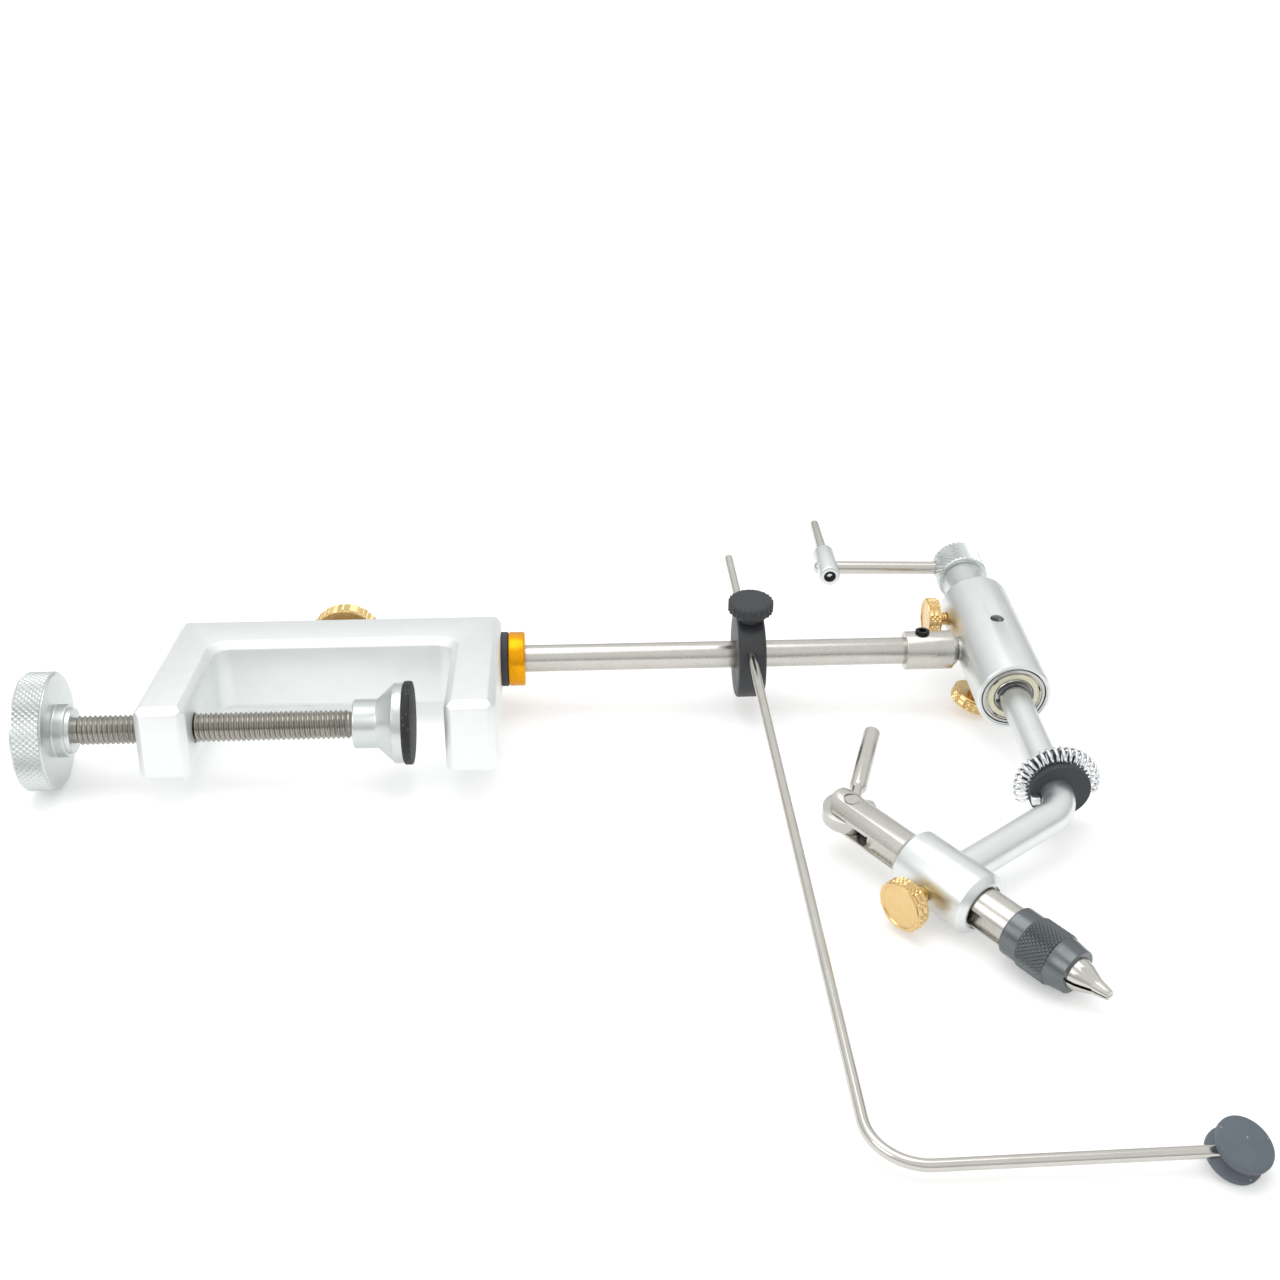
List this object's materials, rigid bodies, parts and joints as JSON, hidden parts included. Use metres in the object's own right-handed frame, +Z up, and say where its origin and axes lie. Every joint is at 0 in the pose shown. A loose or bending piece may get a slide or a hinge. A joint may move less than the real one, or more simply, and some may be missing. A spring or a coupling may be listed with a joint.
{
  "type": "fly tying vise",
  "caption": "Fly tying vise: C-clamp on a post, tilted rotary head with crank, angled arm, cam-lever jaws and a thread cradle on a bent rod with a pulley.",
  "frame": {"origin": "on the axis of the post, half way along its free length", "axes": "+X along the post towards the rotary head, -Y towards the jaws and the clamp screw, +Z up as the vise lies on its side on a table"},
  "size_m": [0.3388, 0.3269, 0.0469],
  "materials": {
    "machined_aluminium": "fine bead-blasted, bright",
    "stainless_steel": "turned and brushed",
    "hardened_steel": "dark hardened steel",
    "chrome_spring": "bright drawn wire",
    "brass": "turned brass, lacquered",
    "sintered_bronze": "oiled sintered bronze",
    "black_oxide_steel": "black oxide",
    "shield_tan": "pale yellow shields",
    "orange_anodised": "orange-gold anodised",
    "black_plastic": "grainy black",
    "black_rubber": "black speckled rubber",
    "slate_rubber": "slate grey rubber"
  },
  "bodies": {
    "clamp": {"clamp_frame": "machined_aluminium"},
    "clamp_shoe": {"clamp_foot": "machined_aluminium", "clamp_pad": "black_rubber"},
    "clamp_spindle": {"clamp_screw": "stainless_steel", "clamp_knob": "machined_aluminium", "pivot_ring": "hardened_steel"},
    "stem_lock": {"stem_lock_screw": "brass"},
    "stem_slider": {"post_washer": "black_rubber"},
    "stem": {"post": "stainless_steel", "stop_collar": "orange_anodised", "collar_set_screw": "black_oxide_steel", "coupling": "stainless_steel", "coupling_set_screw": "black_oxide_steel", "housing": "machined_aluminium", "rear_bushing": "sintered_bronze", "bearing_outer_race": "hardened_steel", "bearing_balls": "hardened_steel", "bearing_shields": "shield_tan"},
    "cradle": {"cradle_block": "black_plastic", "cradle_plug": "brass"},
    "cradle_lock": {"cradle_knob": "black_plastic"},
    "cradle_arm": {"cradle_rod": "stainless_steel", "thread_pulley": "slate_rubber"},
    "side_lock": {"side_lock_screw": "brass"},
    "bottom_lock": {"bottom_lock_screw": "brass"},
    "rotor": {"spindle_arm": "machined_aluminium", "spindle_clip": "hardened_steel", "bearing_inner_race": "hardened_steel", "rear_hub": "machined_aluminium", "hub_set_screw": "black_oxide_steel", "crank_arm": "stainless_steel", "crank_block": "machined_aluminium", "crank_set_screw": "black_oxide_steel", "crank_handle": "stainless_steel", "spring_wheel": "black_rubber", "material_spring": "chrome_spring", "spring_clip": "chrome_spring", "jaw_barrel": "machined_aluminium"},
    "barrel_lock": {"barrel_lock_screw": "brass"},
    "tube": {"jaw_tube": "stainless_steel", "cam_pin": "stainless_steel"},
    "cam": {"cam_disc": "hardened_steel", "cam_lever": "stainless_steel"},
    "plunger": {"draw_bar": "stainless_steel", "return_spring": "hardened_steel"},
    "upper_jaw": {"jaw_upper": "stainless_steel"},
    "lower_jaw": {"jaw_lower": "stainless_steel"},
    "nose_collar": {"jaw_collar": "black_oxide_steel"}
  },
  "joints": [
    {"name": "clamp_travel", "type": "slide", "parent": "clamp", "child": "clamp_shoe", "axis": [1, 0, 0], "range_m": [-0.049, 0.0105]},
    {"name": "clamp_screw_turn", "type": "hinge", "parent": "clamp_shoe", "child": "clamp_spindle", "pos_m": [-0.15, -0.05064, 0.00405], "axis": [1, 0, 0], "range_deg": [-11200, 2400]},
    {"name": "stem_lock_turn", "type": "hinge", "parent": "clamp", "child": "stem_lock", "pos_m": [-0.1055, 0.01396, -0.00112], "axis": [0, 0.9968, -0.0797], "range_deg": [0, 720]},
    {"name": "stem_travel", "type": "slide", "parent": "clamp", "child": "stem_slider", "axis": [1, 0, 0], "range_m": [0, 0.035]},
    {"name": "stem_turn", "type": "hinge", "parent": "stem_slider", "child": "stem", "pos_m": [0, 0, 0], "axis": [1, 0, 0], "continuous": true},
    {"name": "cradle_swing", "type": "hinge", "parent": "stem", "child": "cradle", "pos_m": [0.0384, 0, 0], "axis": [1, 0, 0], "continuous": true},
    {"name": "cradle_knob_turn", "type": "hinge", "parent": "cradle", "child": "cradle_lock", "pos_m": [0.0384, -0.00159, 0.01491], "axis": [0, -0.1063, 0.9943], "range_deg": [0, 720]},
    {"name": "cradle_rod_travel", "type": "slide", "parent": "cradle", "child": "cradle_arm", "axis": [-0.0239, 0.9941, 0.1062], "range_m": [-0.03, 0.045]},
    {"name": "side_lock_turn", "type": "hinge", "parent": "stem", "child": "side_lock", "pos_m": [0.1121, 0.02071, 0.00191], "axis": [-1, 0, 0], "range_deg": [0, 720]},
    {"name": "bottom_lock_turn", "type": "hinge", "parent": "stem", "child": "bottom_lock", "pos_m": [0.12131, -0.00377, -0.01356], "axis": [-0.342, 0.0865, -0.9357], "range_deg": [0, 720]},
    {"name": "rotor_spin", "type": "hinge", "parent": "stem", "child": "rotor", "pos_m": [0.1261, 0, 0], "axis": [0, -0.9958, -0.092], "continuous": true},
    {"name": "barrel_lock_turn", "type": "hinge", "parent": "rotor", "child": "barrel_lock", "pos_m": [0.07278, -0.13018, -0.01203], "axis": [-0.8141, -0.5782, -0.0534], "range_deg": [0, 720]},
    {"name": "jaw_tube_travel", "type": "slide", "parent": "rotor", "child": "tube", "axis": [0.5807, -0.8107, -0.0749], "range_m": [-0.0115, 0.0145]},
    {"name": "cam_turn", "type": "hinge", "parent": "tube", "child": "cam", "pos_m": [0.06013, -0.09195, -0.0085], "axis": [0, -0.092, 0.9958], "range_deg": [-50, 0.2]},
    {"name": "plunger_travel", "type": "slide", "parent": "tube", "child": "plunger", "axis": [0.5807, -0.8107, -0.0749], "range_m": [0, 0.000565]},
    {"name": "upper_jaw_turn", "type": "hinge", "parent": "plunger", "child": "upper_jaw", "pos_m": [0.10287, -0.15176, -0.01242], "axis": [0.8141, 0.5782, 0.0534], "range_deg": [-0.003, 0.326]},
    {"name": "lower_jaw_turn", "type": "hinge", "parent": "plunger", "child": "lower_jaw", "pos_m": [0.10287, -0.15147, -0.01561], "axis": [0.8141, 0.5782, 0.0534], "range_deg": [-0.326, 0.003]},
    {"name": "nose_collar_turn", "type": "hinge", "parent": "tube", "child": "nose_collar", "pos_m": [0.10577, -0.15567, -0.01439], "axis": [0.5807, -0.8107, -0.0749], "range_deg": [-720, 720]}
  ],
  "couplings": [
    {"joint": "clamp_screw_turn", "follows": "clamp_travel", "rad_per_m": 3957.9},
    {"joint": "cam_turn", "follows": "plunger_travel", "rad_per_m": -1538.5},
    {"joint": "upper_jaw_turn", "follows": "plunger_travel", "rad_per_m": 10},
    {"joint": "lower_jaw_turn", "follows": "plunger_travel", "rad_per_m": -10}
  ]
}
